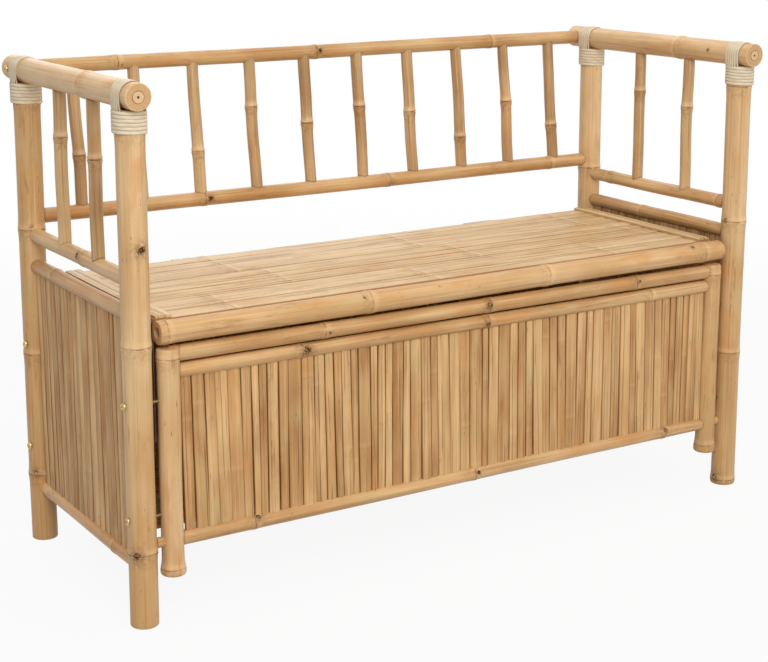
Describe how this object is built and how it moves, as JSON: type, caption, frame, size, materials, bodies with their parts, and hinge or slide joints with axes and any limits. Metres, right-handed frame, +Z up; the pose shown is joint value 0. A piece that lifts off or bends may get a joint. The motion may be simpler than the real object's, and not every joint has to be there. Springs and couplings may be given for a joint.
{
  "type": "garden storage bench",
  "caption": "Bamboo bench with arms and a spindled back, over a slatted storage box whose seat is a lid hinged at its rear edge.",
  "frame": {"origin": "on the floor, under the middle of the bench's length and depth", "axes": "+X along the bench to the right of someone facing its front, +Y from front to back, +Z up"},
  "size_m": [1.1952, 0.491, 0.7987],
  "materials": {
    "bamboo_pole": "satin natural culm",
    "bamboo_rail": "satin natural culm",
    "bamboo_spindle": "satin natural culm",
    "split_bamboo": "matt split bamboo",
    "seat_bamboo": "satin split bamboo",
    "batten_wood": "sawn, bare",
    "cane": "pale peeled cane",
    "hinge_steel": "zinc plated",
    "screw_steel": "yellow plated"
  },
  "bodies": {
    "frame": {"arm_dowels": "batten_wood", "arm_end_plugs": "batten_wood", "arm_lower_rail_left": "bamboo_rail", "arm_lower_rail_right": "bamboo_rail", "arm_rail_left": "bamboo_pole", "arm_rail_right": "bamboo_pole", "arm_screws": "screw_steel", "arm_spindles_left": "bamboo_spindle", "arm_spindles_right": "bamboo_spindle", "back_lower_rail": "bamboo_rail", "back_spindles": "bamboo_spindle", "back_top_rail": "bamboo_rail", "floor_bearers": "bamboo_rail", "floor_slats": "split_bamboo", "front_bottom_rail": "bamboo_rail", "front_second_rail": "bamboo_rail", "front_slats": "split_bamboo", "front_stile_left": "bamboo_pole", "front_stile_right": "bamboo_pole", "front_upper_rail": "bamboo_rail", "hinge_box_leaf_left": "hinge_steel", "hinge_box_leaf_right": "hinge_steel", "hinge_box_screws": "screw_steel", "hinge_pin_left": "hinge_steel", "hinge_pin_right": "hinge_steel", "hinge_rail": "bamboo_rail", "lashing_front_left": "cane", "lashing_front_right": "cane", "lashing_rear_left": "cane", "lashing_rear_right": "cane", "leg_front_left": "bamboo_pole", "leg_front_right": "bamboo_pole", "leg_rear_left": "bamboo_pole", "leg_rear_right": "bamboo_pole", "leg_screws": "screw_steel", "rear_bottom_rail": "bamboo_rail", "rear_slats": "split_bamboo", "rear_stile_left": "bamboo_pole", "rear_stile_right": "bamboo_pole", "side_bottom_rail_left": "bamboo_rail", "side_bottom_rail_right": "bamboo_rail", "side_slats_left": "split_bamboo", "side_slats_right": "split_bamboo", "side_top_rail_left": "bamboo_rail", "side_top_rail_right": "bamboo_rail"},
    "lid": {"hinge_lid_leaf_left": "hinge_steel", "hinge_lid_leaf_right": "hinge_steel", "hinge_lid_screws": "screw_steel", "lid_battens": "batten_wood", "lid_end_strips": "seat_bamboo", "lid_front_pole": "bamboo_pole", "lid_rear_batten": "batten_wood", "lid_slats": "seat_bamboo"}
  },
  "joints": [
    {"name": "lid_hinge", "type": "hinge", "parent": "frame", "child": "lid", "pos_m": [0, 0.1595, 0.4457], "axis": [-1, 0, 0], "range_deg": [0, 95]}
  ]
}
